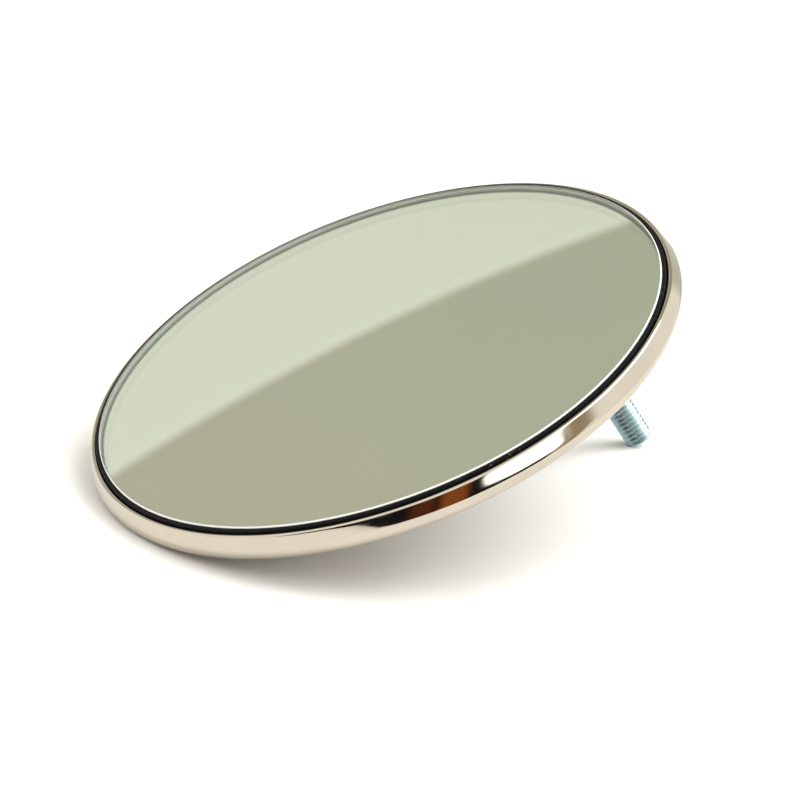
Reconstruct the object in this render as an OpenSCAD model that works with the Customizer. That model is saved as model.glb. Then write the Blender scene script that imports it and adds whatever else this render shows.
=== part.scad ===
// Round convex mirror head on a ball stud, lying face up on its rim and on the tip of its stud.
// Millimetres. The origin is on the table, under the middle of the whole thing. +Z is up.
// Parts are drawn in two tilted frames: head() has +Z along the mirror's axis with its origin at
// the middle of the rim's crest, and socket() has its origin at the ball's centre and -Z along the stud.

/* [Head] */
// Outside diameter of the rim
head_d = 127; // [124:0.5:130]
// Height of the rim from its crest to its lowest edge
rim_h = 5.5; // [5.4:0.05:5.6]
// Thickness of the rim's sheet metal
rim_sheet = 0.5; // [0.45:0.01:0.55]
// Depth of the domed back below the rim's crest
back_depth = 16.5; // [15.5:0.5:17]
// Thickness of the back shell's sheet metal
shell_sheet = 0.9; // [0.8:0.05:1]

/* [Mirror glass] */
// Diameter of the ground glass disc
glass_d = 120.6; // [120:0.1:121]
// Thickness of the glass
glass_t = 3; // [2.8:0.1:3.2]
// Radius of the sphere that the reflecting face is part of
mirror_radius = 1000; // [700:50:1600]
// Height of the glass's top edge above the rim's crest
glass_proud = 0.7; // [0.6:0.05:0.8]

/* [Ball stud] */
// Diameter of the ball
ball_d = 11; // [10.8:0.1:11.2]
// Distance of the ball's centre from the mirror's axis
ball_offset = 41.5; // [40:0.5:42]
// Depth of the ball's centre below the rim's crest
ball_depth = 15.6; // [15.4:0.1:16.5]
// Outward lean of the stud, square to the domed back
stud_lean = 13.2; // [12.5:0.1:13.5]
// Nominal diameter of the threaded shank, a quarter of an inch
shank_d = 6.35; // [6:0.05:6.4]
// Reach of the stud from the ball's centre to its tip
stud_reach = 43.7; // [42:0.1:46]
// Chamfer at the tip of the shank
tip_chamfer = 0.35; // [0.3:0.05:0.6]

/* [Fixings] */
// Width of the nut across its flats
nut_af = 11.1; // [10:0.1:12]
// Thickness of the nut
nut_h = 5.3; // [4.8:0.1:5.6]
// Outside diameter of the plain washer
washer_d = 14; // [12.5:0.5:15]

/* [Hidden] */

round_fn = 144;
small_fn = 64;

// The rim's outline is three arcs: a tight roll at the crest, an almost straight slope and a wide roll underneath.
crest_roll = 0.6;
foot_roll = 2.3;
slope_r = 60;
foot_a = 26;
crest_z = -crest_roll;
foot_x = head_d / 2 - foot_roll;
foot_z = foot_roll - rim_h;
slope_x = foot_x - (slope_r - foot_roll) * cos(foot_a);
slope_z = foot_z - (slope_r - foot_roll) * sin(foot_a);
crest_a = asin((crest_z - slope_z) / (slope_r - crest_roll));
crest_x = slope_x + (slope_r - crest_roll) * cos(crest_a);

// The glass lies on the gasket's foot, which lies on the shell's flange.
glass_r = glass_d / 2;
glass_back_z = glass_proud - glass_t;
arris = 0.25;
silver_t = 0.15;
gasket_foot_t = 1.4;
gasket_wall = 0.7;
gasket_gap = 0.1;
gasket_foot_in = glass_r - 4.5;
flange_top_z = glass_back_z - silver_t - gasket_foot_t;
flange_r = foot_x + 0.7;
pad_r = gasket_foot_in - 0.4;
pad_t = 1.55;
board_t = 1;

// The dome is part of a sphere that is square to the socket's axis.
dome_centre_z = ball_offset / tan(stud_lean) - ball_depth;
dome_r = dome_centre_z + back_depth;
shoulder_x = 53.5;
shoulder_blend = 3;

// Socket sizes, in the socket's own frame, where the ball's centre is zero.
ball_r = ball_d / 2;
fit = 0.06;
liner_t = 0.65;
liner_r = ball_r + fit + liner_t;
seat_r = liner_r + fit;
seat_out_r = 7.8;
cup_in_r = seat_out_r + fit;
cup_out_r = cup_in_r + 1;
cup_foot_z = -5.7;
cup_lip_t = 1;
cup_lip_r = 5.2;
seat_foot_z = cup_foot_z + cup_lip_t;
seat_mouth_r = 4.65;
seat_top_z = 1;
liner_foot_z = -3;
liner_top_z = 2;
land_top_z = 5.2;
land_t = 1.3;
land_r = 13;
flange_out_r = 12;
flange_t = 0.9;
cap_brim_z = land_top_z + flange_t;
cap_t = 0.8;
pressure_foot_z = 3.8;
pressure_top_z = 6.9;
thrust_t = 0.4;
spring_h = 0.9;
cap_under_z = pressure_top_z + thrust_t + spring_h;
cap_in_r = cup_in_r;
rivet_ring_r = 10.6;
rivet_r = 0.9;
rivet_head_r = 1.35;
rivet_head_t = 0.7;
rivet_count = 3;

// The stud: a neck under the ball, a hexagon for a spanner, then the shank.
neck_r = 2.5;
hex_top_z = -9.5;
hex_h = 3;
hex_af = 9.5;
shank_top_z = hex_top_z - hex_h;
shank_r = shank_d / 2;
// Next to the hexagon, as long as the fixings are high, the shank is drawn at the thread's pitch diameter.
runout_r = shank_r - 0.4;
runout_z = -21.3;
washer_t = 1.2;
spring_washer_t = 1.6;
bore_gap = 0.08;
washer_gap = 0.25;
stack_top_z = shank_top_z - 0.05;
spring_washer_z = stack_top_z - washer_t;
nut_top_z = spring_washer_z - spring_washer_t;

// How it lies: the floor touches the foot roll on one side and the tip's inner corner on the other.
tip_face_r = shank_r - tip_chamfer;
tip_x = ball_offset + stud_reach * sin(stud_lean) - tip_face_r * cos(stud_lean);
tip_z = -ball_depth - stud_reach * cos(stud_lean) - tip_face_r * sin(stud_lean);
span_x = tip_x + foot_x;
span_z = foot_z - tip_z;
head_tilt = atan2(span_z, span_x) - asin(foot_roll / norm([span_x, span_z]));
lift = -(tip_x * sin(head_tilt) + tip_z * cos(head_tilt));
low_end = -(foot_x * cos(head_tilt) + foot_z * sin(head_tilt) + foot_roll);
tip_mid_x = ball_offset + stud_reach * sin(stud_lean);
tip_mid_z = -ball_depth - stud_reach * cos(stud_lean);
tip_rise = tip_chamfer * cos(90 - head_tilt - stud_lean);
tip_half = max(tip_face_r * cos(head_tilt + stud_lean), shank_r * cos(head_tilt + stud_lean) - tip_rise);
high_end = tip_mid_x * cos(head_tilt) - tip_mid_z * sin(head_tilt) + tip_half;
shift = -(low_end + high_end) / 2;

// Points along an arc, from angle a0 to angle a1, in n steps.
function arc(cx, cz, r, a0, a1, n) =
    [for (i = [0:n]) let (a = a0 + (a1 - a0) * i / n) [cx + r * cos(a), cz + r * sin(a)]];

// Height of a glass face at a distance x from the axis, when its edge is at edge_z.
function face_z(x, edge_z) =
    edge_z + sqrt(pow(mirror_radius, 2) - x * x) - sqrt(pow(mirror_radius, 2) - glass_r * glass_r);

// Points along a glass face from x0 to x1.
function face(x0, x1, edge_z, n) =
    [for (i = [0:n]) let (x = x0 + (x1 - x0) * i / n) [x, face_z(x, edge_z)]];

// The rim's outline, drawn inset metal inside its outer face.
function rim_line(inset) = concat(
    arc(crest_x, crest_z, crest_roll - inset, 190, crest_a, 16),
    arc(slope_x, slope_z, slope_r - inset, crest_a, foot_a, 4),
    arc(foot_x, foot_z, foot_roll - inset, foot_a, -105, 16)
);

function reversed(list) = [for (i = [len(list) - 1:-1:0]) list[i]];

// The back shell's outer face from its flange to the axis, drawn sheet metal further in.
function shell_line(inset) =
    let (
        dome = dome_r - inset,
        blend = shoulder_blend - inset,
        blend_x = shoulder_x - shoulder_blend,
        blend_z = dome_centre_z - sqrt(pow(dome_r - shoulder_blend, 2) - blend_x * blend_x),
        blend_a = -90 + asin(blend_x / (dome_r - shoulder_blend))
    )
    concat(
        arc(blend_x, blend_z, blend, -15, blend_a, 8),
        arc(0, dome_centre_z, dome, blend_a, -90, 16)
    );

module head() {
    translate([shift, 0, lift])
        rotate([0, -head_tilt, 0])
            children();
}

module socket() {
    head()
        translate([ball_offset, 0, -ball_depth])
            rotate([0, -stud_lean, 0])
                children();
}

module turned(points) {
    rotate_extrude($fn = round_fn)
        polygon(points);
}

module ring(outer_r, inner_r, z0, z1) {
    translate([0, 0, z0])
        difference() {
            cylinder(r = outer_r, h = z1 - z0, $fn = small_fn);
            translate([0, 0, -1])
                cylinder(r = inner_r, h = z1 - z0 + 2, $fn = small_fn);
        }
}

module around_socket() {
    for (i = [0:rivet_count - 1])
        rotate([0, 0, 60 + i * 360 / rivet_count])
            translate([rivet_ring_r, 0, 0])
                children();
}

// Bright rim, rolled over the flange below and the gasket above.
module rim_bezel() {
    color("antiquewhite")
        head()
            turned(concat(rim_line(0), reversed(rim_line(rim_sheet))));
}

// Pressed back: a flange under the rim, a shallow wall and a dome, with a flat land for the socket.
module back_shell() {
    under_z = flange_top_z - shell_sheet;
    color("silver")
        difference() {
            union() {
                head()
                    turned(concat(
                        [[flange_r, under_z], [shoulder_x + 4, under_z]],
                        shell_line(0),
                        reversed(shell_line(shell_sheet)),
                        [[shoulder_x + 3.6, flange_top_z], [flange_r, flange_top_z]]
                    ));
                socket()
                    translate([0, 0, land_top_z - land_t])
                        cylinder(r = land_r, h = land_t, $fn = small_fn);
            }
            socket()
                translate([0, 0, -ball_r])
                    cylinder(r = cup_out_r, h = 3 * ball_r, $fn = small_fn);
            socket()
                around_socket()
                    cylinder(r = rivet_r, h = 3 * ball_r, $fn = small_fn);
        }
}

// Rubber ring of L section, under the glass and around its edge.
module glass_gasket() {
    wall_in = glass_r + gasket_gap;
    wall_out = wall_in + gasket_wall;
    color("dimgray")
        head()
            turned([
                [gasket_foot_in, flange_top_z],
                [wall_out, flange_top_z],
                [wall_out, 0.2],
                [wall_out - 0.2, 0.42],
                [wall_in + 0.1, 0.42],
                [wall_in, 0.3],
                [wall_in, glass_back_z - silver_t],
                [gasket_foot_in, glass_back_z - silver_t]
            ]);
}

// Bent glass disc with a ground arris around its front edge.
module mirror_glass() {
    color("honeydew")
        head()
            turned(concat(
                face(0, glass_r - arris, glass_proud, 20),
                [[glass_r, glass_proud - arris], [glass_r, glass_back_z]],
                face(glass_r, 0, glass_back_z, 20)
            ));
}

// Silver and backing paint on the back of the glass.
module silvering() {
    color("lightslategray")
        head()
            turned(concat(
                face(0, glass_r, glass_back_z, 20),
                face(glass_r, 0, glass_back_z - silver_t, 20)
            ));
}

// Soft pad that presses on the painted back of the glass.
module foam_pad() {
    top_z = glass_back_z - silver_t;
    color("darkgray")
        head()
            turned(concat(
                face(0, pad_r, top_z, 16),
                [[pad_r, face_z(pad_r, top_z) - pad_t], [0, face_z(pad_r, top_z) - pad_t]]
            ));
}

// Stiff board behind the pad, held at its edge by the gasket's foot and the flange.
module backing_board() {
    top_z = face_z(pad_r, glass_back_z - silver_t) - pad_t;
    color("peru")
        head()
            translate([0, 0, top_z - board_t])
                cylinder(r = pad_r, h = board_t, $fn = round_fn);
}

// Turned cup that stands out of the back, with a flange inside the shell.
module socket_cup() {
    color("gainsboro")
        socket()
            difference() {
                union() {
                    translate([0, 0, cup_foot_z])
                        cylinder(r = cup_out_r - fit, h = cap_brim_z - cup_foot_z, $fn = small_fn);
                    translate([0, 0, land_top_z])
                        cylinder(r = flange_out_r, h = flange_t, $fn = small_fn);
                }
                translate([0, 0, seat_foot_z])
                    cylinder(r = cup_in_r, h = 4 * ball_r, $fn = small_fn);
                translate([0, 0, cup_foot_z - 1])
                    cylinder(r = cup_lip_r, h = 4, $fn = small_fn);
                around_socket()
                    cylinder(r = rivet_r, h = 3 * ball_r, $fn = small_fn);
            }
}

// Rubber ring above the seat that keeps grease in and dust out.
module ball_seal() {
    color("dimgray")
        socket()
            ring(seat_out_r - 0.05, liner_r + 0.45, seat_top_z + 0.35, pressure_foot_z - 0.2);
}

// Moulded seat under the ball, free to turn in the cup.
module ball_seat() {
    color("ivory")
        socket()
            difference() {
                translate([0, 0, seat_foot_z + fit])
                    cylinder(r = seat_out_r, h = seat_top_z - seat_foot_z - fit, $fn = small_fn);
                sphere(r = seat_r, $fn = 96);
                translate([0, 0, -2 * ball_r])
                    cylinder(r = seat_mouth_r, h = 2 * ball_r, $fn = small_fn);
            }
}

// Thin moulded liner between the ball and its seat.
module ball_liner() {
    color("whitesmoke")
        socket()
            difference() {
                sphere(r = liner_r, $fn = 96);
                sphere(r = ball_r + fit, $fn = 96);
                translate([0, 0, liner_top_z])
                    cylinder(r = 2 * ball_r, h = 2 * ball_r, $fn = small_fn);
                translate([0, 0, liner_foot_z - 2 * ball_r])
                    cylinder(r = 2 * ball_r, h = 2 * ball_r, $fn = small_fn);
            }
}

// Cup that the spring presses down on the ball.
module pressure_cup() {
    color("ivory")
        socket()
            difference() {
                translate([0, 0, pressure_foot_z])
                    cylinder(r = seat_out_r - 0.1, h = pressure_top_z - pressure_foot_z, $fn = small_fn);
                sphere(r = ball_r + fit, $fn = 96);
                cylinder(r = 1.6, h = 4 * ball_r, $fn = small_fn);
            }
}

// Hardened washer under the spring.
module thrust_washer() {
    color("lightsteelblue")
        socket()
            ring(7, 2.2, pressure_top_z, pressure_top_z + thrust_t);
}

// Coned disc spring.
module pressure_spring() {
    disc_t = 0.4;
    foot_z = pressure_top_z + thrust_t;
    color("steelblue")
        socket()
            rotate_extrude($fn = small_fn)
                polygon([
                    [6.8, foot_z],
                    [6.8, foot_z + disc_t],
                    [3, foot_z + spring_h],
                    [3, foot_z + spring_h - disc_t]
                ]);
}

// Hat-shaped pressing that holds the spring down, riveted through its brim.
module spring_cap() {
    color("gainsboro")
        socket()
            difference() {
                union() {
                    translate([0, 0, cap_brim_z])
                        cylinder(r = flange_out_r, h = cap_t, $fn = small_fn);
                    translate([0, 0, cap_brim_z])
                        cylinder(r = cup_out_r, h = cap_under_z + cap_t - cap_brim_z, $fn = small_fn);
                }
                translate([0, 0, cap_brim_z - 1])
                    cylinder(r = cap_in_r, h = cap_under_z - cap_brim_z + 1, $fn = small_fn);
                cylinder(r = 3.2, h = 4 * ball_r, $fn = small_fn);
                around_socket()
                    cylinder(r = rivet_r, h = 3 * ball_r, $fn = small_fn);
            }
}

// Rivets through the shell, the cup's flange and the cap's brim.
module socket_rivets() {
    under_z = land_top_z - land_t;
    top_z = cap_brim_z + cap_t;
    color("silver")
        socket()
            around_socket() {
                translate([0, 0, under_z - rivet_head_t])
                    cylinder(r = rivet_r, h = top_z - under_z + 2 * rivet_head_t, $fn = 32);
                translate([0, 0, under_z - rivet_head_t])
                    cylinder(r = rivet_head_r, h = rivet_head_t, $fn = 32);
                translate([0, 0, top_z])
                    cylinder(r = rivet_head_r, h = rivet_head_t, $fn = 32);
            }
}

// Ball, neck, spanner hexagon and shank in one piece.
module ball_stud() {
    color("lightsteelblue")
        socket() {
            sphere(r = ball_r, $fn = 96);
            translate([0, 0, hex_top_z - 0.5])
                cylinder(r = neck_r, h = -hex_top_z, $fn = small_fn);
            translate([0, 0, shank_top_z])
                cylinder(d = hex_af / cos(30), h = hex_h, $fn = 6);
            translate([0, 0, runout_z - 0.5])
                cylinder(r = runout_r, h = shank_top_z + 1 - runout_z + 0.5, $fn = small_fn);
            translate([0, 0, -stud_reach + tip_chamfer])
                cylinder(r = shank_r, h = stud_reach - tip_chamfer + runout_z, $fn = small_fn);
            translate([0, 0, -stud_reach])
                cylinder(r1 = tip_face_r, r2 = shank_r, h = tip_chamfer, $fn = small_fn);
        }
}

module plain_washer() {
    color("lightsteelblue")
        socket()
            ring(washer_d / 2, shank_r + washer_gap, spring_washer_z + 0.01, stack_top_z);
}

// Split ring with a slanted gap.
module spring_washer() {
    color("lightsteelblue")
        socket()
            difference() {
                ring(shank_r + 2.2, shank_r + washer_gap, nut_top_z + 0.01, spring_washer_z);
                translate([shank_r + 1.2, 0, nut_top_z + spring_washer_t / 2])
                    rotate([30, 0, 0])
                        cube([4, 0.6, 4], center = true);
            }
}

module hex_nut() {
    color("lightsteelblue")
        socket()
            translate([0, 0, nut_top_z - nut_h])
                difference() {
                    intersection() {
                        cylinder(d = nut_af / cos(30), h = nut_h, $fn = 6);
                        nut_chamfers();
                    }
                    translate([0, 0, -1])
                        cylinder(r = shank_r + bore_gap, h = nut_h + 2, $fn = small_fn);
                }
}

// Cone-ended blank that takes the corners off the nut's hexagon.
module nut_chamfers() {
    corner_r = nut_af / cos(30) / 2;
    face_r = nut_af / 2 - 0.2;
    edge_h = (corner_r - face_r) * tan(30);
    rotate_extrude($fn = small_fn)
        polygon([
            [0, 0], [face_r, 0], [corner_r, edge_h],
            [corner_r, nut_h - edge_h], [face_r, nut_h], [0, nut_h]
        ]);
}

rim_bezel();
back_shell();
glass_gasket();
mirror_glass();
silvering();
foam_pad();
backing_board();
socket_cup();
ball_seal();
ball_seat();
ball_liner();
pressure_cup();
thrust_washer();
pressure_spring();
spring_cap();
socket_rivets();
ball_stud();
plain_washer();
spring_washer();
hex_nut();
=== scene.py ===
# %% [markdown]
# # A convex mirror head with a ball stud
# A round glass mirror, slightly domed, is held in a bright rolled rim. A pressed back closes it, and a
# threaded stud with a ball on its end comes out of a socket in that back. Here it lies face up on a pale
# table, propped on its rim and on the tip of the stud. The measured model is loaded first, and every new
# piece is made to fit it.

# %% Load the measured model
import math

import bpy
from mathutils import Matrix, Vector


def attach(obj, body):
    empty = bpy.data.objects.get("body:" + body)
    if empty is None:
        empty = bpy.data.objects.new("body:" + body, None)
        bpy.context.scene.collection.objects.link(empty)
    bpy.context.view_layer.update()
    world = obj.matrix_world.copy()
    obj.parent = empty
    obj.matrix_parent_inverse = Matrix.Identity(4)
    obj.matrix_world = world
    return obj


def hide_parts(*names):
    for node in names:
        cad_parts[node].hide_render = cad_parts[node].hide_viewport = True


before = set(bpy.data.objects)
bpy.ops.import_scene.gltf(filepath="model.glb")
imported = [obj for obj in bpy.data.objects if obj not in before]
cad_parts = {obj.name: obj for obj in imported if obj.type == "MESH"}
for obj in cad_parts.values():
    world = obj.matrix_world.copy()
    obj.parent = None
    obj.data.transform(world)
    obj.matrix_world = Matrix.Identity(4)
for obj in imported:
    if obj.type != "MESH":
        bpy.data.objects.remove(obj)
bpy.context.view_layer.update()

print("nodes:", len(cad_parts))

# %% [markdown]
# ## Two working frames
# A turner thinks of each part on the lathe, with its axis upright. The head's parts are all round about
# the mirror's axis, and the socket's and stud's parts about the stud's axis. So each piece is drawn
# upright in millimetres and then set in place with one of two matrices, and no piece needs fitting by eye.

# %% The head's frame and the socket's frame
mm = 0.001
head_tilt = math.radians(25.756)
stud_lean = math.radians(13.2)
head_place = Matrix.Translation((-8.925 * mm, 0, 31.776 * mm)) @ Matrix.Rotation(-head_tilt, 4, "Y")
ball_in_head = Matrix.Translation((41.5 * mm, 0, -15.6 * mm))
socket_place = head_place @ ball_in_head @ Matrix.Rotation(-stud_lean, 4, "Y")
print("ball centre", [round(v / mm, 2) for v in socket_place.translation])

# %% [markdown]
# ## The lathe
# Nearly every part of this object was turned, spun or pressed round. On a lathe the outline of the cut
# decides everything, so the helper below works the same way: one point is extruded along an outline, the
# line is spun round the axis, and the seam and the poles are merged. Spin can leave a shape inside out, so
# the normals are worked out again once the doubles are gone. The wide bright rings get the most steps in a
# turn, and what is small or hidden gets fewer.

# %% Turn a piece from its outline
rim_steps, back_steps, socket_steps, stud_steps = 384, 256, 128, 96


def deselect():
    """Leaves nothing selected, in object mode."""
    if bpy.context.mode != "OBJECT":
        bpy.ops.object.mode_set(mode="OBJECT")
    bpy.ops.object.select_all(action="DESELECT")


def settle(piece, place, crease=32):
    """Writes a piece's place into its mesh and smooths it, apart from edges sharper than the crease angle."""
    deselect()
    piece.matrix_world = place @ piece.matrix_world
    piece.select_set(True)
    bpy.context.view_layer.objects.active = piece
    bpy.ops.object.transform_apply(location=True, rotation=True, scale=True)
    bpy.ops.object.shade_smooth_by_angle(angle=math.radians(crease))
    return piece


def lathe(name, outline, steps, closed=True):
    """Spins an outline of (radius, height) points, in millimetres, round the upright axis."""
    deselect()
    x, z = outline[0]
    bpy.ops.mesh.primitive_plane_add(size=mm, location=(x * mm, 0, z * mm))
    piece = bpy.context.object
    piece.name = piece.data.name = name
    bpy.ops.object.transform_apply(location=True)
    bpy.ops.object.mode_set(mode="EDIT")
    bpy.ops.mesh.select_mode(type="VERT")
    bpy.ops.mesh.select_all(action="SELECT")
    bpy.ops.mesh.merge(type="CENTER")
    for here, there in zip(outline, outline[1:] + outline[:1] * closed):
        step = ((there[0] - here[0]) * mm, 0, (there[1] - here[1]) * mm)
        bpy.ops.mesh.extrude_vertices_move(TRANSFORM_OT_translate={"value": step})
    bpy.ops.mesh.select_all(action="SELECT")
    bpy.ops.mesh.remove_doubles(threshold=0.0005 * mm)
    bpy.ops.mesh.spin(steps=steps, angle=math.tau, center=(0, 0, 0), axis=(0, 0, 1))
    bpy.ops.mesh.select_all(action="SELECT")
    bpy.ops.mesh.remove_doubles(threshold=0.0005 * mm)
    bpy.ops.mesh.normals_make_consistent(inside=False)
    bpy.ops.object.mode_set(mode="OBJECT")
    print(name, len(piece.data.polygons), "faces")
    return piece


def arc(x, z, radius, start, end, steps):
    """Points along an arc, from the angle start to the angle end, in degrees."""
    turns = [math.radians(start + (end - start) * i / steps) for i in range(steps + 1)]
    return [(x + radius * math.cos(t), z + radius * math.sin(t)) for t in turns]


# %% [markdown]
# Holes and cut-outs are made as in a workshop, with a cutter of the hole's shape. The Boolean modifier
# does the cutting, with its exact solver, and the cutter is thrown away.

# %% Cut with a tool
def cut(piece, tool, operation="DIFFERENCE", keep_tool=False):
    """Cuts the tool's shape out of the piece, or keeps only what lies inside it."""
    deselect()
    piece.select_set(True)
    bpy.context.view_layer.objects.active = piece
    change = piece.modifiers.new("cut", "BOOLEAN")
    change.operation, change.solver, change.object = operation, "EXACT", tool
    bpy.ops.object.modifier_apply(modifier="cut")
    if not keep_tool:
        bpy.data.objects.remove(tool)
    return piece


def join(name, parts):
    """Joins several meshes into one piece."""
    deselect()
    for part in parts:
        part.select_set(True)
    bpy.context.view_layer.objects.active = parts[0]
    bpy.ops.object.join()
    parts[0].name = parts[0].data.name = name
    return parts[0]


# %% [markdown]
# ## The rim
# The rim is a strip of brass sheet, 0.5 mm thick, rolled into a ring of three arcs: a tight roll at the
# crest that holds the gasket, an almost straight slope, and a wide roll underneath that grips the back. It
# is then polished and nickel plated, so any facet would show at once as a break in its reflections. The
# outline therefore has a point every few degrees of arc, and the ring a step every degree.

# %% Roll the rim
rim_sheet = 0.5
crest_r, slope_r, foot_r = 0.6, 60, 2.3
slope_top, slope_low = 28.01, 26


def rim_line(inset):
    """The rim's outline from the crest to the foot, a little way inside its outer face."""
    crest = arc(61.783, -0.6, crest_r - inset, 190, slope_top, 26)
    slope = arc(9.340, -28.494, slope_r - inset, slope_top, slope_low, 6)[1:]
    foot = arc(61.2, -3.2, foot_r - inset, slope_low, -105, 36)[1:]
    return crest + slope + foot


rim = lathe("rim_rolled", rim_line(0) + rim_line(rim_sheet)[::-1], rim_steps)
settle(rim, head_place)

# %% [markdown]
# ## The glass
# The mirror is a disc of float glass, bent over a dome of 1 m radius, so its middle stands 1.8 mm higher
# than its edge. A grinding wheel has broken its sharp corners, and those ground edges are what catches the
# light as a thin bright line. They get their own material slot later. The two faces are true arcs of the
# dome, because a mirror shows every error of shape.

# %% Bend the glass
glass_r, glass_front, glass_back = 60.3, 0.7, -2.3
arris_r = 0.27


def dome(x, edge_z, radius=1000.0):
    """Height of a domed face at a distance x from the axis, when its edge is at edge_z."""
    return edge_z + math.sqrt(radius**2 - x * x) - math.sqrt(radius**2 - glass_r**2)


def dome_line(x0, x1, edge_z, steps):
    """Points along a domed face, from one distance from the axis to another."""
    return [(x, dome(x, edge_z)) for x in (x0 + (x1 - x0) * i / steps for i in range(steps + 1))]


front = dome_line(0, glass_r - 0.25, glass_front, 24)
ground = arc(glass_r - arris_r, 0.4, arris_r, 80, 10, 5)
cut_wall = [(glass_r, 0.3), (glass_r, -2.15)]
under = dome_line(glass_r - 0.15, 0, glass_back, 24)
glass = lathe("glass_disc", front + ground + cut_wall + under, rim_steps, closed=False)
settle(glass, head_place, crease=14)

# %% [markdown]
# ## The silvering
# Silver is laid on the back of the glass and painted over. Where one clear solid meets another face
# exactly, a renderer can't tell which it hits first, so the film starts 0.02 mm inside the glass. The
# light then passes through the glass, meets the silver and comes back out, as it really does.

# %% Silver the back
film_r, film_front, film_back = 60.1, -2.28, -2.45
film_line = dome_line(0, film_r, film_front, 24) + dome_line(film_r, 0, film_back, 24)
film = lathe("silver_film", film_line, rim_steps, closed=False)
settle(film, head_place)

# %% [markdown]
# ## The gasket
# A moulded ring of black rubber, L-shaped in section, sits round and under the glass and stops it from
# touching metal. Moulded rubber has no sharp edges, so the visible lip is drawn with small rounds. It
# stands up against the glass, nearly as high as the ground edge.

# %% Mould the gasket
foot_in, foot_low = 55.8, -3.85
lip = arc(60.9, 0.2, 0.2, 0, 82, 5) + arc(60.55, 0.27, 0.15, 85, 180, 5)
gasket_line = [(foot_in, foot_low), (61.1, foot_low)] + lip + [(60.4, film_back), (foot_in, film_back)]
gasket = lathe("gasket_ring", gasket_line, rim_steps)
settle(gasket, head_place)

# %% [markdown]
# ## The back
# The back is pressed from steel sheet: a flange that the rim grips, a rounded shoulder, and a shallow
# dome, which slopes squarely to the socket's axis where the socket sits. A flat round land is pressed into
# it where the socket sits. The dome is turned, the land is turned in the socket's frame and merged on, and
# the holes are cut through both.

# %% Press the back and its land
back_sheet = 0.9
dome_z, dome_r = 161.337, 177.837
turn_x, shoulder_r = 50.5, 3
turn_a = -90 + math.degrees(math.asin(turn_x / (dome_r - shoulder_r)))
turn_z = dome_z - math.sqrt((dome_r - shoulder_r) ** 2 - turn_x**2)


def back_line(inset):
    """The back's outer face from its shoulder to the axis, a little way inside the metal."""
    shoulder = arc(turn_x, turn_z, shoulder_r - inset, -15, turn_a, 10)
    return shoulder + arc(0, dome_z, dome_r - inset, turn_a, -90, 24)[1:]


flange = arc(61.45, -4.3, 0.45, 80, -80, 8)
outer = flange + [(57.5, -4.75)] + back_line(0)
back = lathe("back_pressing", outer + back_line(back_sheet)[::-1] + [(57.1, foot_low)], back_steps)
settle(back, head_place)
land_edge = arc(12.55, 4.35, 0.45, -90, -20, 5) + [(13.0, 4.6), (13.0, 5.2)]
land = lathe("land", [(0, 3.9)] + land_edge + [(0, 5.2)], socket_steps, closed=False)
settle(land, socket_place)
cut(back, land, "UNION")
bore = lathe("bore", [(0, 0), (8.86, 0), (8.86, 9), (0, 9)], socket_steps, closed=False)
settle(bore, socket_place)
cut(back, bore)

# %% Drill the three rivet holes
rivet_circle, rivet_r = 10.6, 0.9
rivet_spots = (60, 180, 300)


def rivet_place(spot):
    """The place of a rivet at an angle round the socket, in degrees."""
    around = Matrix.Rotation(math.radians(spot), 4, "Z")
    return socket_place @ around @ Matrix.Translation((rivet_circle * mm, 0, 0))


rivet_holes = []
for spot in rivet_spots:
    drill = lathe("drill", [(0, 3), (rivet_r, 3), (rivet_r, 9), (0, 9)], 24, closed=False)
    rivet_holes.append(settle(drill, rivet_place(spot)))
drills = join("drills", rivet_holes)
cut(back, drills, keep_tool=True)
settle(back, Matrix.Identity(4), crease=24)
print("back_pressing", len(back.data.polygons), "faces after cutting")

# %% [markdown]
# ## The socket cup
# A steel cup stands out of the back and holds the ball joint. It was turned from bar, so its corners are
# lightly broken by the tool, and its flange lies inside the back where three rivets hold it.

# %% Turn the socket cup
cup_foot = arc(8.4, -5.3, 0.4, 0, -90, 5) + [(5.45, -5.7)] + arc(5.45, -5.45, 0.25, -90, -180, 4)
cup_line = [(12.0, 5.2), (8.8, 5.2)] + cup_foot + [(5.2, -4.7), (7.86, -4.7), (7.86, 6.1), (12.0, 6.1)]
cup = lathe("socket_turned", cup_line, socket_steps)
settle(cup, socket_place)
cut(cup, drills)
settle(cup, Matrix.Identity(4))

# %% [markdown]
# ## The rivets
# Each rivet is a steel pin with a head at both ends, closed by a press. The head outside is a low dome
# with a tiny flat in the middle from the punch. One rivet is modelled, and the other two are copies of it
# turned round the socket's axis.

# %% Make one rivet and copy it
head_r = 1.35
outside = [(0, 3.2), (0.45, 3.21)] + arc(0.75, 3.72, 0.52, -75, -5, 6) + [(head_r, 3.9), (rivet_r, 3.9)]
inside = [(rivet_r, 6.9), (head_r, 6.9)] + arc(0.75, 7.08, 0.52, 5, 75, 6) + [(0.45, 7.59), (0, 7.6)]
first = lathe("rivet_a", outside + inside, 40, closed=False)
settle(first, rivet_place(rivet_spots[0]))
rivets = [first]
for letter, spot in zip("bc", rivet_spots[1:]):
    copy = first.copy()
    copy.data = first.data.copy()
    copy.name = copy.data.name = "rivet_" + letter
    bpy.context.collection.objects.link(copy)
    turn = Matrix.Rotation(math.radians(spot - rivet_spots[0]), 4, "Z")
    about = socket_place @ turn @ socket_place.inverted()
    rivets.append(settle(copy, about))
print("rivets:", len(rivets))

# %% [markdown]
# ## The ball stud
# The stud is one steel forging: a ball, a waist, a hexagon for a spanner, and a shank with a rolled
# quarter-inch thread, 20 to the inch. The thread is what shows, so it is a true helix. One tooth of 1.27
# mm is drawn as a line, the Screw modifier winds it along the shank, and what falls outside a chamfered
# blank is cut away.

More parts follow.
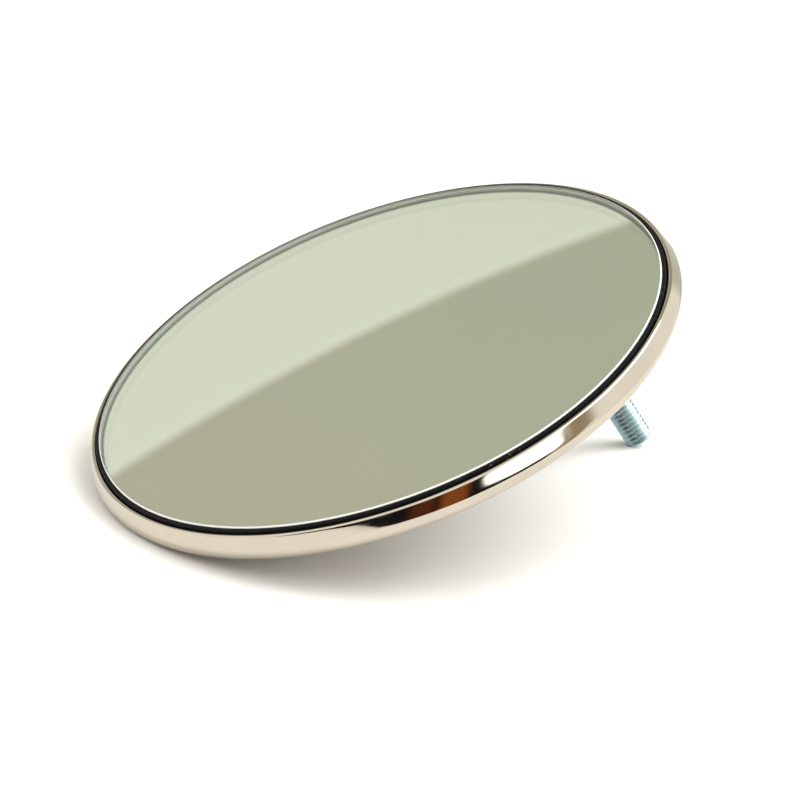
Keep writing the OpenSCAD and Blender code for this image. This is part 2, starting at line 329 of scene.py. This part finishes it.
# %% Turn the ball and its waist
throat = arc(3.1, -5.85, 0.75, 118, 185, 6)
neck = [(2.5, -8.9)] + arc(3.1, -8.95, 0.6, 180, 255, 5) + [(3.0, -10.2), (0, -10.2)]
ball = lathe("ball", arc(0, 0, 5.5, 90, -56, 40) + throat + neck, stud_steps, closed=False)

# %% Forge the hexagon
def hexagon(name, across_flats, low, high, chamfer, hole_r=0.0):
    """A spanner hexagon between two heights, with turned corners and, if it has a hole, a countersink."""
    deselect()
    bpy.ops.mesh.primitive_cylinder_add(
        vertices=6, radius=across_flats / math.sqrt(3) * mm, depth=(high - low) * mm,
        location=(0, 0, (low + high) / 2 * mm), rotation=(0, 0, math.radians(30)))
    piece = bpy.context.object
    piece.name = piece.data.name = name
    bpy.ops.object.transform_apply(location=True, rotation=True)
    corner, face = across_flats / math.sqrt(3), across_flats / 2 - 0.12
    rise = (corner - face) * math.tan(math.radians(chamfer))
    clear_of = corner + 0.01
    turned = [(0, high), (face, high), (clear_of, high - rise), (clear_of, low + rise), (face, low), (0, low)]
    cut(piece, lathe("blank", turned, stud_steps, closed=False), "INTERSECT")
    if hole_r:
        sink = 0.45
        wide = hole_r + sink + 1
        hole = [(0, high + 1), (wide, high + 1), (hole_r, high - sink)]
        hole += [(hole_r, low + sink), (wide, low - 1), (0, low - 1)]
        cut(piece, lathe("countersink", hole, stud_steps, closed=False))
    return piece


spanner_hex = hexagon("spanner_hex", 9.5, -12.5, -9.5, 25)

# %% Roll the thread
pitch, major_r, minor_r = 1.27, 3.16, 2.52
thread_start, thread_turns = -47, 30
tooth = [(minor_r, 0.0), (minor_r, 0.13), (minor_r + 0.05, 0.2), (major_r - 0.05, 0.5), (major_r, 0.57),
         (major_r, 0.73), (major_r - 0.05, 0.8), (minor_r + 0.05, 1.1), (minor_r, 1.17), (minor_r, pitch)]
deselect()
bpy.ops.mesh.primitive_plane_add(size=mm, location=(minor_r * mm, 0, thread_start * mm))
thread = bpy.context.object
thread.name = thread.data.name = "thread"
bpy.ops.object.transform_apply(location=True)
bpy.ops.object.mode_set(mode="EDIT")
bpy.ops.mesh.select_all(action="SELECT")
bpy.ops.mesh.merge(type="CENTER")
for here, there in zip(tooth, tooth[1:]):
    step = ((there[0] - here[0]) * mm, 0, (there[1] - here[1]) * mm)
    bpy.ops.mesh.extrude_vertices_move(TRANSFORM_OT_translate={"value": step})
bpy.ops.object.mode_set(mode="OBJECT")
wind = thread.modifiers.new("wind", "SCREW")
wind.angle, wind.screw_offset, wind.iterations = math.tau, pitch * mm, thread_turns
wind.steps = wind.render_steps = 48
wind.use_merge_vertices, wind.merge_threshold = True, 0.002 * mm
bpy.ops.object.modifier_apply(modifier="wind")

# %% Close the thread's ends and cut it to the blank
bpy.ops.object.mode_set(mode="EDIT")
bpy.ops.mesh.select_mode(type="VERT")
bpy.ops.mesh.select_all(action="SELECT")
bpy.ops.mesh.remove_doubles(threshold=0.002 * mm)
bpy.ops.mesh.select_all(action="DESELECT")
bpy.ops.mesh.select_non_manifold()
bpy.ops.mesh.edge_face_add()
bpy.ops.mesh.select_all(action="SELECT")
bpy.ops.mesh.quads_convert_to_tris()
bpy.ops.mesh.normals_make_consistent(inside=False)
bpy.ops.object.mode_set(mode="OBJECT")
tip_z, shank_r = -43.7, 3.17
tip_line = [(0, tip_z), (2.7, tip_z), (2.83, -43.67), (3.1, -43.45), (shank_r, -43.3)]
shank_line = tip_line + [(shank_r, -13.3), (2.6, -12.4), (0, -12.4)]
cut(thread, lathe("shank_blank", shank_line, stud_steps, closed=False), "INTERSECT")
print("thread", len(thread.data.polygons), "faces after cutting")
stud = join("ball_stud_forged", [ball, spanner_hex, thread])
settle(stud, socket_place, crease=30)

# %% [markdown]
# ## The fixings
# A plain washer, a split spring washer and a nut sit under the hexagon, as the mirror is sold. A stamped
# washer has rounded edges on one side, and a spring washer is a cut ring whose ends stand ready to bite.

# %% Stamp the washers
flat_line = [(7.0, -13.75), (7.0, -12.9)] + arc(6.65, -12.9, 0.35, 15, 90, 5) + [(3.6, -12.55)]
flat_line += arc(3.6, -12.72, 0.17, 100, 180, 4) + [(3.43, -13.75)]
washer = lathe("washer_plain", flat_line, socket_steps)
settle(washer, socket_place)
split_out, split_in = 5.375, 3.43
split_line = [(split_out, -15.2), (split_out, -13.9), (5.25, -13.76), (3.55, -13.76)]
split_line += [(split_in, -13.9), (split_in, -15.2), (3.55, -15.34), (5.25, -15.34)]
split = lathe("washer_spring", split_line, stud_steps)
deselect()
bpy.ops.mesh.primitive_cube_add(
    size=mm, location=(4.4 * mm, 0, -14.55 * mm), rotation=(math.radians(30), 0, 0), scale=(4, 0.6, 5))
slit = bpy.context.object
bpy.ops.object.transform_apply(location=True, rotation=True, scale=True)
cut(split, slit)
settle(split, socket_place)

# %% Make the nut
nut = hexagon("nut_hexagon", 11.1, -20.65, -15.35, 28, hole_r=3.255)
settle(nut, socket_place)

# %% [markdown]
# ## The soft pad
# A foam pad presses on the painted back of the glass so that it can't rattle. It is die cut from sheet,
# and its edge bulges a little where the board squeezes it. It is never seen once the back is on.

# %% Cut the pad
pad_r, pad_thick = 55.0, 1.55
pad_top = dome_line(0, pad_r, film_back, 20)
pad_low = dome(55.4, film_back) - pad_thick
bulge = arc(54.95, (dome(pad_r, film_back) + pad_low) / 2, 0.45, 70, -70, 6)
pad = lathe("foam_disc", pad_top + bulge + [(54.9, pad_low), (0, pad_low)], socket_steps, closed=False)
settle(pad, head_place)

# %% [markdown]
# ## Which body each piece belongs to
# A new piece takes over from the plain node of the same part and moves with the same body. Each row
# also names the part's finish.

# %% Hand the pieces over
takes_over = [
    (rim, "rim_bezel", "head", "bright_nickel"), (glass, "mirror_glass", "head", "clear_glass"),
    (film, "silvering", "head", "silver_film"), (gasket, "glass_gasket", "head", "black_rubber"),
    (back, "back_shell", "head", "nickel_back"), (cup, "socket_cup", "head", "turned_steel"),
    (pad, "foam_pad", "head", "grey_foam"), (stud, "ball_stud", "stud", "zinc_plate"),
    (washer, "plain_washer", "washers", "zinc_plate"), (split, "spring_washer", "washers", "zinc_plate"),
    (nut, "hex_nut", "nut", "zinc_plate"),
] + [(rivet, "socket_rivets", "head", "turned_steel") for rivet in rivets]
for piece, node, body, finish in takes_over:
    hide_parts(node)
    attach(piece, body)
print("new pieces:", len(takes_over))

# %% [markdown]
# ## Helpers for finishes
# Colours are picked as hex values, as on a paint chart, but light is added up in linear values, so one
# function turns the one into the other. A second adds a node to a material, with its settings and its
# links.

# %% Colour and node helpers
def colour(code):
    """A hex colour as linear light."""
    parts = [int(code[i:i + 2], 16) / 255 for i in (1, 3, 5)]
    return tuple(v / 12.92 if v <= 0.04045 else ((v + 0.055) / 1.055) ** 2.4 for v in parts) + (1.0,)


def add(tree, kind, **settings):
    """Adds a node. A name sets a property or an input, and i0, i1 and so on an input by its number."""
    node = tree.nodes.new("ShaderNode" + kind)
    inputs = {}
    for key, value in settings.items():
        if hasattr(node, key):
            setattr(node, key, value)
        else:
            inputs[key] = value
    for key, value in inputs.items():
        entry = node.inputs[int(key[1:]) if key[1:].isdigit() else key.replace("_", " ")]
        if isinstance(value, bpy.types.NodeSocket):
            tree.links.new(value, entry)
        else:
            entry.default_value = value
    return node


def new_finish(name, **shader):
    """A material with one Principled shader, and the settings that are the same all over it."""
    material = bpy.data.materials.new(name)
    material.use_nodes = True
    tree = material.node_tree
    surface = tree.nodes["Principled BSDF"]
    for key, value in shader.items():
        surface.inputs[key.replace("_", " ")].default_value = value
    place = add(tree, "TexCoord").outputs["Object"]
    return material, tree, surface, place


# %% [markdown]
# ## Bright nickel
# Nickel plate is warmer than chrome, a little yellow against white. Polished before plating, it reflects
# almost sharply, with faint waves from the rolling, 3 to 8 mm long, that make reflections wander. A few
# brown specks of tarnish about a millimetre across and fine polishing marks keep it from looking new from
# the bath.

# %% Bright nickel plate
nickel, tree, surface, place = new_finish("bright_nickel_plate", Metallic=1.0)
cloud = add(tree, "TexNoise", Vector=place, Scale=90.0, Detail=3.0, Roughness=0.6)
tint = add(tree, "Mix", data_type="RGBA", i0=cloud.outputs["Fac"], i6=colour("#bcb4a6"), i7=colour("#cbc2b4"))
spots = add(tree, "TexVoronoi", Vector=place, Scale=150.0, Randomness=1.0)
rare = add(tree, "TexNoise", Vector=place, Scale=60.0, Detail=1.0)
near = add(tree, "MapRange", interpolation_type="SMOOTHSTEP", i0=spots.outputs["Distance"],
           i1=0.06, i2=0.16, i3=1.0, i4=0.0)
few = add(tree, "MapRange", i0=rare.outputs["Fac"], i1=0.64, i2=0.68, i3=0.0, i4=1.0)
speck = add(tree, "Math", operation="MULTIPLY", i0=near.outputs[0], i1=few.outputs[0])
plated = add(tree, "Mix", data_type="RGBA", i0=speck.outputs[0], i6=tint.outputs[2], i7=colour("#8a6a4a"))
tree.links.new(plated.outputs[2], surface.inputs["Base Color"])
rub = add(tree, "TexNoise", Vector=place, Scale=400.0, Detail=4.0)
gloss = add(tree, "MapRange", i0=rub.outputs["Fac"], i1=0.3, i2=0.8, i3=0.035, i4=0.085)
dull = add(tree, "Math", operation="MULTIPLY_ADD", i0=speck.outputs[0], i1=0.35, i2=gloss.outputs[0])
tree.links.new(dull.outputs[0], surface.inputs["Roughness"])
wave = add(tree, "TexNoise", Vector=place, Scale=160.0, Detail=1.5)
bump = add(tree, "Bump", Strength=0.25, Distance=0.00012, Height=wave.outputs["Fac"])
tree.links.new(bump.outputs["Normal"], surface.inputs["Normal"])
rim.data.materials.append(nickel)
print(nickel.name)

# %% [markdown]
# ## Glass and its ground edge
# Float glass is clear with a trace of green, and its index of refraction is 1.52. A few dust specks lie on
# it. The ground edge is the same glass with a surface broken by the grinding wheel. So much light is
# scattered in it that it looks pale and solid. The cut wall below it gets a painted shade that darkens its
# colour towards the front, standing in for the dark recess between the glass and the gasket. A face
# belongs to the ground edge when it doesn't look up or down along the mirror's axis.

# %% Clear glass and ground glass
clear, tree, surface, place = new_finish("clear_float_glass", IOR=1.52, Transmission_Weight=1.0)
surface.inputs["Base Color"].default_value = colour("#f6faf4")
dust = add(tree, "TexVoronoi", Vector=place, Scale=260.0)
grain = add(tree, "TexNoise", Vector=place, Scale=45.0, Detail=1.0)
dot = add(tree, "MapRange", i0=dust.outputs["Distance"], i1=0.03, i2=0.05, i3=1.0, i4=0.0)
seldom = add(tree, "MapRange", i0=grain.outputs["Fac"], i1=0.66, i2=0.68, i3=0.0, i4=1.0)
specks = add(tree, "Math", operation="MULTIPLY", i0=dot.outputs[0], i1=seldom.outputs[0])
haze = add(tree, "Math", operation="MULTIPLY", i0=specks.outputs[0], i1=0.5)
tree.links.new(haze.outputs[0], surface.inputs["Roughness"])
ground_glass, tree, surface, place = new_finish("ground_glass_edge", IOR=1.52, Roughness=0.5)
upright = head_place.inverted()
in_head = add(tree, "Mapping", Vector=place, Location=upright.translation, Rotation=upright.to_euler())
height = add(tree, "SeparateXYZ", Vector=in_head.outputs[0]).outputs[2]
# Painted shade: the cut wall's colour goes from pale at the back to dark at the front, standing in for the
# shade of the dark recess beside the gasket. The pale top is the ground edge's own colour.
shade_towards_front = add(tree, "MapRange", i0=height, i1=-2.3 * mm, i2=0.4 * mm, i3=0.0, i4=1.0)
painted_shade_wall = add(tree, "Mix", data_type="RGBA", i0=shade_towards_front.outputs[0], i6=colour("#fafcf6"), i7=colour("#45483f"))
top = add(tree, "MapRange", i0=height, i1=0.40 * mm, i2=0.46 * mm, i3=0.0, i4=1.0)
grit = add(tree, "TexNoise", Vector=place, Scale=900.0, Detail=2.0)
pale = add(tree, "Mix", data_type="RGBA", i0=grit.outputs["Fac"], i6=colour("#dfe2e0"), i7=colour("#f2f3f0"))
edge_tone_with_painted_shade = add(tree, "Mix", data_type="RGBA", i0=top.outputs[0], i6=painted_shade_wall.outputs[2], i7=pale.outputs[2])
tree.links.new(edge_tone_with_painted_shade.outputs[2], surface.inputs["Base Color"])
glass.data.materials.append(clear)
glass.data.materials.append(ground_glass)
mirror_axis = head_place.to_3x3() @ Vector((0, 0, 1))
flat_enough = 0.985
for face in glass.data.polygons:
    face.material_index = int(abs(face.normal.dot(mirror_axis)) < flat_enough)
print("ground faces:", sum(face.material_index == 1 for face in glass.data.polygons))

# %% [markdown]
# ## Chemical silver
# The silver is laid down from a bath, thinner than a hair by far, and takes the polish of the glass it
# lies on. So it has no roughness of its own. Old silver blooms a little, in soft clouds some centimetres
# wide.

# %% Silver film
silver, tree, surface, place = new_finish("chemical_silver", Metallic=1.0)
bloom = add(tree, "TexNoise", Vector=place, Scale=25.0, Detail=2.0)
tarnish = add(tree, "Mix", data_type="RGBA", i0=bloom.outputs["Fac"],
              i6=colour("#f0f1ec"), i7=colour("#f5f6f1"))
tree.links.new(tarnish.outputs[2], surface.inputs["Base Color"])
surface.inputs["Roughness"].default_value = 0.0
film.data.materials.append(silver)
print(silver.name)

# %% [markdown]
# ## Black rubber
# The gasket is moulded from black rubber. It is matt and nearly black, with a fine grain from the mould,
# and pale dust has settled along its lip in specks of a few tenths of a millimetre.

# %% Dusty black rubber
rubber, tree, surface, place = new_finish("dusty_black_rubber", IOR=1.5, Specular_IOR_Level=0.12)
lint = add(tree, "TexNoise", Vector=place, Scale=1500.0, Detail=3.0, Roughness=0.7)
patch = add(tree, "TexNoise", Vector=place, Scale=160.0, Detail=2.0)
fleck = add(tree, "MapRange", i0=lint.outputs["Fac"], i1=0.6, i2=0.72, i3=0.0, i4=1.0)
where = add(tree, "MapRange", i0=patch.outputs["Fac"], i1=0.45, i2=0.65, i3=0.0, i4=0.7)
dusty = add(tree, "Math", operation="MULTIPLY", i0=fleck.outputs[0], i1=where.outputs[0])
black = add(tree, "Mix", data_type="RGBA", i0=dusty.outputs[0], i6=colour("#060708"), i7=colour("#70766c"))
tree.links.new(black.outputs[2], surface.inputs["Base Color"])
matt = add(tree, "MapRange", i0=dusty.outputs[0], i3=0.55, i4=0.95)
tree.links.new(matt.outputs[0], surface.inputs["Roughness"])
bump = add(tree, "Bump", Strength=0.3, Distance=0.00005, Height=lint.outputs["Fac"])
tree.links.new(bump.outputs["Normal"], surface.inputs["Normal"])
gasket.data.materials.append(rubber)
print(rubber.name)

# %% [markdown]
# ## Nickel on pressed steel
# The back is plated too, but nobody polished it first. The steel's drawn surface shows through as a slight
# orange peel about 1 mm across, with soft reflections and a greyer tone.

# %% Nickel on the back
plain_nickel, tree, surface, place = new_finish("nickel_on_pressed_steel", Metallic=1.0)
cloud = add(tree, "TexNoise", Vector=place, Scale=35.0, Detail=5.0, Roughness=0.6)
tint = add(tree, "Mix", data_type="RGBA", i0=cloud.outputs["Fac"], i6=colour("#b9b4aa"), i7=colour("#d6d1c6"))
tree.links.new(tint.outputs[2], surface.inputs["Base Color"])
gloss = add(tree, "MapRange", i0=cloud.outputs["Fac"], i1=0.3, i2=0.75, i3=0.16, i4=0.3)
tree.links.new(gloss.outputs[0], surface.inputs["Roughness"])
peel = add(tree, "TexNoise", Vector=place, Scale=900.0, Detail=2.0)
bump = add(tree, "Bump", Strength=0.25, Distance=0.00005, Height=peel.outputs["Fac"])
tree.links.new(bump.outputs["Normal"], surface.inputs["Normal"])
back.data.materials.append(plain_nickel)
print(plain_nickel.name)

# %% [markdown]
# ## Turned steel
# The tool of a lathe leaves fine rings round the axis, about 0.3 mm apart. The pattern is a ring texture
# whose centre has to lie on the socket's axis, so a Mapping node carries the place into the socket's frame
# first.

# %% Turned steel with tool rings
turned_steel, tree, surface, place = new_finish("turned_steel", Metallic=1.0)
into = socket_place.inverted()
axis_place = add(tree, "Mapping", Vector=place, Location=into.translation, Rotation=into.to_euler())
rings = add(tree, "TexWave", wave_type="RINGS", rings_direction="Z", Vector=axis_place.outputs[0],
            Scale=1050.0, Distortion=0.6, Detail=1.0)
steps_along = add(tree, "TexWave", wave_type="BANDS", bands_direction="Z", Vector=axis_place.outputs[0],
                  Scale=1050.0, Distortion=0.6, Detail=1.0)
tool = add(tree, "Math", operation="ADD", i0=rings.outputs["Fac"], i1=steps_along.outputs["Fac"])
cloud = add(tree, "TexNoise", Vector=place, Scale=120.0, Detail=3.0)
tint = add(tree, "Mix", data_type="RGBA", i0=cloud.outputs["Fac"], i6=colour("#a09c94"), i7=colour("#c6c3bb"))
tree.links.new(tint.outputs[2], surface.inputs["Base Color"])
gloss = add(tree, "MapRange", i0=cloud.outputs["Fac"], i1=0.3, i2=0.75, i3=0.22, i4=0.36)
tree.links.new(gloss.outputs[0], surface.inputs["Roughness"])
bump = add(tree, "Bump", Strength=0.2, Distance=0.00003, Height=tool.outputs[0])
tree.links.new(bump.outputs["Normal"], surface.inputs["Normal"])
for piece in [cup] + rivets:
    piece.data.materials.append(turned_steel)
print(turned_steel.name)

# %% [markdown]
# ## Zinc plate with a blue passivate
# Screws and nuts are plated with zinc and dipped in a passivate that leaves a thin clear film, pale blue
# with patches that lean to green or straw. The crystals make it softly shiny, never mirror bright.

# %% Blue zinc plate
zinc, tree, surface, place = new_finish("blue_zinc_plate", Metallic=1.0)
film_tone = add(tree, "TexNoise", Vector=place, Scale=350.0, Detail=3.0, Roughness=0.6)
blue = add(tree, "Mix", data_type="RGBA", i0=film_tone.outputs["Fac"],
           i6=colour("#7f97a3"), i7=colour("#acc4c8"))
straw_at = add(tree, "TexNoise", Vector=place, Scale=180.0, Detail=1.0)
straw = add(tree, "MapRange", i0=straw_at.outputs["Fac"], i1=0.58, i2=0.75, i3=0.0, i4=0.5)
tone = add(tree, "Mix", data_type="RGBA", i0=straw.outputs[0], i6=blue.outputs[2], i7=colour("#afb4a3"))
tree.links.new(tone.outputs[2], surface.inputs["Base Color"])
gloss = add(tree, "MapRange", i0=film_tone.outputs["Fac"], i1=0.3, i2=0.75, i3=0.2, i4=0.38)
tree.links.new(gloss.outputs[0], surface.inputs["Roughness"])
crystal = add(tree, "TexNoise", Vector=place, Scale=3000.0, Detail=3.0)
bump = add(tree, "Bump", Strength=0.3, Distance=0.00003, Height=crystal.outputs["Fac"])
tree.links.new(bump.outputs["Normal"], surface.inputs["Normal"])
for piece in (stud, washer, split, nut):
    piece.data.materials.append(zinc)
print(zinc.name)

# %% [markdown]
# ## Finishes for the hidden parts
# The parts inside the socket and behind the glass keep their measured shapes. Nylon is milky with a faint
# mould grain, spring steel is dark with an oiled bloom, fibre board shows pressed fibres about 2 mm long,
# and foam has closed cells about half a millimetre wide, drawn at that size.

# %% Nylon, spring steel, board and foam
nylon, tree, surface, place = new_finish("natural_nylon", IOR=1.53, Subsurface_Weight=0.15)
surface.inputs["Subsurface Scale"].default_value = 0.5 * mm
milk = add(tree, "TexNoise", Vector=place, Scale=300.0, Detail=2.0)
tint = add(tree, "Mix", data_type="RGBA", i0=milk.outputs["Fac"], i6=colour("#e2dcc9"), i7=colour("#f1eddf"))
tree.links.new(tint.outputs[2], surface.inputs["Base Color"])
gloss = add(tree, "MapRange", i0=milk.outputs["Fac"], i3=0.35, i4=0.5)
tree.links.new(gloss.outputs[0], surface.inputs["Roughness"])
spring_steel, tree, surface, place = new_finish("oiled_spring_steel", Metallic=1.0)
oil = add(tree, "TexNoise", Vector=place, Scale=220.0, Detail=3.0)
tint = add(tree, "Mix", data_type="RGBA", i0=oil.outputs["Fac"], i6=colour("#4d5054"), i7=colour("#84878b"))
tree.links.new(tint.outputs[2], surface.inputs["Base Color"])
gloss = add(tree, "MapRange", i0=oil.outputs["Fac"], i3=0.2, i4=0.45)
tree.links.new(gloss.outputs[0], surface.inputs["Roughness"])
board, tree, surface, place = new_finish("pressed_fibre_board", IOR=1.5)
fibres = add(tree, "Mapping", Vector=place, Scale=(500.0, 1800.0, 900.0))
strands = add(tree, "TexNoise", Vector=fibres.outputs[0], Scale=1.0, Detail=4.0)
tint = add(tree, "Mix", data_type="RGBA", i0=strands.outputs["Fac"],
           i6=colour("#6f5338"), i7=colour("#b08c62"))
tree.links.new(tint.outputs[2], surface.inputs["Base Color"])
gloss = add(tree, "MapRange", i0=strands.outputs["Fac"], i3=0.7, i4=0.95)
tree.links.new(gloss.outputs[0], surface.inputs["Roughness"])
foam, tree, surface, place = new_finish("closed_cell_foam", IOR=1.5)
cells = add(tree, "TexVoronoi", Vector=place, Scale=2000.0)
tint = add(tree, "Mix", data_type="RGBA", i0=cells.outputs["Distance"],
           i6=colour("#5b5c60"), i7=colour("#3c3d40"))
tree.links.new(tint.outputs[2], surface.inputs["Base Color"])
surface.inputs["Roughness"].default_value = 0.9
bump = add(tree, "Bump", Strength=0.5, Distance=0.0001, Height=cells.outputs["Distance"])
tree.links.new(bump.outputs["Normal"], surface.inputs["Normal"])
pad.data.materials.append(foam)

# %% Put the finishes on the measured parts
kept = {
    "backing_board": board, "ball_seal": rubber,
    "ball_seat": nylon, "ball_liner": nylon, "pressure_cup": nylon,
    "thrust_washer": spring_steel, "pressure_spring": spring_steel, "spring_cap": turned_steel,
}
for name, material in kept.items():
    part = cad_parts[name]
    if not part.material_slots:
        part.data.materials.append(material)
    for entry in part.material_slots:
        entry.material = material
print("finished CAD parts:", ", ".join(kept))

# %% [markdown]
# ## The table
# The table is plain and white, and lit so strongly that only shadows show on it. A real one is a sheet of
# coated board with hardly any texture, so it gets a very faint mottle and a matt surface.

# %% Lay the table
deselect()
bpy.ops.mesh.primitive_plane_add(size=24, location=(0, 0, 0))
table = bpy.context.object
table.name = table.data.name = "table_top"
card, tree, surface, place = new_finish("white_board", IOR=1.45)
mottle = add(tree, "TexNoise", Vector=place, Scale=120.0, Detail=2.0)
tint = add(tree, "Mix", data_type="RGBA", i0=mottle.outputs["Fac"],
           i6=colour("#f3f2f1"), i7=colour("#f7f6f5"))
tree.links.new(tint.outputs[2], surface.inputs["Base Color"])
surface.inputs["Roughness"].default_value = 0.9
surface.inputs["Specular IOR Level"].default_value = 0.1
table.data.materials.append(card)

# %% [markdown]
# ## The room
# Bright metal and a mirror have no look of their own: they show the room. So the room is drawn by
# direction in the world's shader. There are cream walls, a darker ceiling that meets the wall along a
# slanted line, a dark end of the room on the camera's side with something brown in it, and a white panel
# beside that.

# %% Draw the room by direction
world = bpy.data.worlds.new("studio_room")
bpy.context.scene.world = world
world.use_nodes = True
tree = world.node_tree
toward = add(tree, "TexCoord").outputs["Generated"]
axes = add(tree, "SeparateXYZ", Vector=toward)
back_x = add(tree, "Math", operation="MULTIPLY", i0=axes.outputs[0], i1=-1.0)
heading = add(tree, "Math", operation="ARCTAN2", i0=back_x.outputs[0], i1=axes.outputs[1])
height = add(tree, "Math", operation="ARCSINE", i0=axes.outputs[2])


def span(value, low, high, soft):
    """1 between two angles in degrees, 0 outside, with soft ends."""
    rise = add(tree, "MapRange", interpolation_type="SMOOTHSTEP", i0=value,
               i1=math.radians(low - soft), i2=math.radians(low + soft), i3=0.0, i4=1.0)
    fall = add(tree, "MapRange", interpolation_type="SMOOTHSTEP", i0=value,
               i1=math.radians(high - soft), i2=math.radians(high + soft), i3=1.0, i4=0.0)
    return add(tree, "Math", operation="MULTIPLY", i0=rise.outputs[0], i1=fall.outputs[0]).outputs[0]


def patch_at(headings, heights, soft, light, under):
    """Paints a patch of light, between two headings and two heights, over what is there already."""
    across = span(heading.outputs[0], headings[0], headings[1], soft)
    up = span(height.outputs[0], heights[0], heights[1], soft)
    mask = add(tree, "Math", operation="MULTIPLY", i0=across, i1=up)
    return add(tree, "Mix", data_type="RGBA", i0=mask.outputs[0], i6=under, i7=light).outputs[2]


wall = (1.3, 1.28, 1.22, 1.0)
slant = add(tree, "VectorMath", operation="DOT_PRODUCT", i0=toward, i1=(0.422, 0.498, -0.757))
above = add(tree, "MapRange", interpolation_type="SMOOTHSTEP", i0=slant.outputs["Value"],
            i1=0.041, i2=0.017, i3=0.0, i4=1.0)
middle = span(heading.outputs[0], -75, 24, 5)
in_ceiling = add(tree, "Math", operation="MULTIPLY", i0=above.outputs[0], i1=middle)
below = add(tree, "Math", operation="SUBTRACT", i0=1.0, i1=above.outputs[0])
in_wall = add(tree, "Math", operation="MULTIPLY", i0=below.outputs[0], i1=middle)
leftward = add(tree, "MapRange", i0=heading.outputs[0],
               i1=math.radians(-22), i2=math.radians(10), i3=0.0, i4=1.0)
far_wall = add(tree, "Mix", data_type="RGBA", i0=leftward.outputs[0],
               i6=(0.76, 0.775, 0.65, 1.0), i7=(0.80, 0.815, 0.73, 1.0))
ceiling = add(tree, "Mix", data_type="RGBA", i0=leftward.outputs[0],
              i6=(0.475, 0.48, 0.375, 1.0), i7=(0.525, 0.495, 0.40, 1.0))
view_wall = add(tree, "Mix", data_type="RGBA", i0=in_wall.outputs[0], i6=wall, i7=far_wall.outputs[2])
empty_room = add(tree, "Mix", data_type="RGBA", i0=in_ceiling.outputs[0],
                 i6=view_wall.outputs[2], i7=ceiling.outputs[2])
print("world nodes before the patches:", len(tree.nodes))

# %% Put the dark end and the panel in
dark, white = (0.012, 0.012, 0.014, 1.0), (3.0, 2.95, 2.9, 1.0)
brown, deep_brown = (0.34, 0.10, 0.026, 1.0), (0.13, 0.036, 0.016, 1.0)
olive, tan = (0.12, 0.11, 0.08, 1.0), (0.50, 0.40, 0.28, 1.0)
patches = [
    ((94, 181), (-6, 27), 2, dark), ((-181, -163), (-6, 27), 2, dark),
    ((151, 160), (1, 24), 2, brown), ((141, 149), (1, 24), 2, deep_brown), ((119, 134), (6, 30), 2, olive),
    ((165, 181), (15, 50), 1.5, white), ((-181, -165), (15, 50), 1.5, white), ((-163, -150), (2, 42), 4, tan),
]
room = empty_room.outputs[2]
for headings, heights, soft, light in patches:
    room = patch_at(headings, heights, soft, light, room)
tree.links.new(room, tree.nodes["Background"].inputs["Color"])
print("world nodes:", len(tree.nodes))

# %% [markdown]
# ## The softbox
# The main light is a large softbox to the right, on the side where the head stands high. It shines in
# under that side, so the shadow falls to the left and is deepest where the rim comes down to the table.

# %% Hang the softbox
deselect()
bpy.ops.object.light_add(type="AREA", location=(0.6, -0.45, 1.2))
softbox = bpy.context.object
softbox.name = "softbox"
softbox.data.shape = "RECTANGLE"
softbox.data.size, softbox.data.size_y = 1.2, 1.0
softbox.data.energy = 13.0
softbox.data.color = (0.98, 0.99, 1.0)
softbox.rotation_euler = (Vector((0, 0, 0.03)) - softbox.location).to_track_quat("-Z", "Y").to_euler()
print("softbox at", tuple(round(v, 2) for v in softbox.location))

# %% [markdown]
# ## The camera
# The camera stands low and close, 17 degrees above the table, looking across the mirror from the side
# where its low edge is, and it is turned slightly about its own line of sight.

# %% Place the camera
deselect()
bpy.ops.object.camera_add()
camera = bpy.context.object
look_az, look_el, roll = math.radians(-33.498), math.radians(-17.357), math.radians(2.971)
level = math.cos(look_el)
sight = Vector((-math.sin(look_az) * level, math.cos(look_az) * level, math.sin(look_el)))
aim, distance = Vector((-0.0053, -0.00483, 0.02058)), 0.45
camera.location = aim - sight * distance
camera.rotation_mode = "QUATERNION"
camera.rotation_quaternion = sight.to_track_quat("-Z", "Y") @ Matrix.Rotation(roll, 4, "Z").to_quaternion()
camera.data.lens, camera.data.sensor_width = 99.0, 36.0
camera.data.clip_start, camera.data.clip_end = 0.01, 60.0
bpy.context.scene.camera = camera
bpy.context.scene.view_settings.view_transform = "Standard"
print("camera at", tuple(round(v, 4) for v in camera.location))
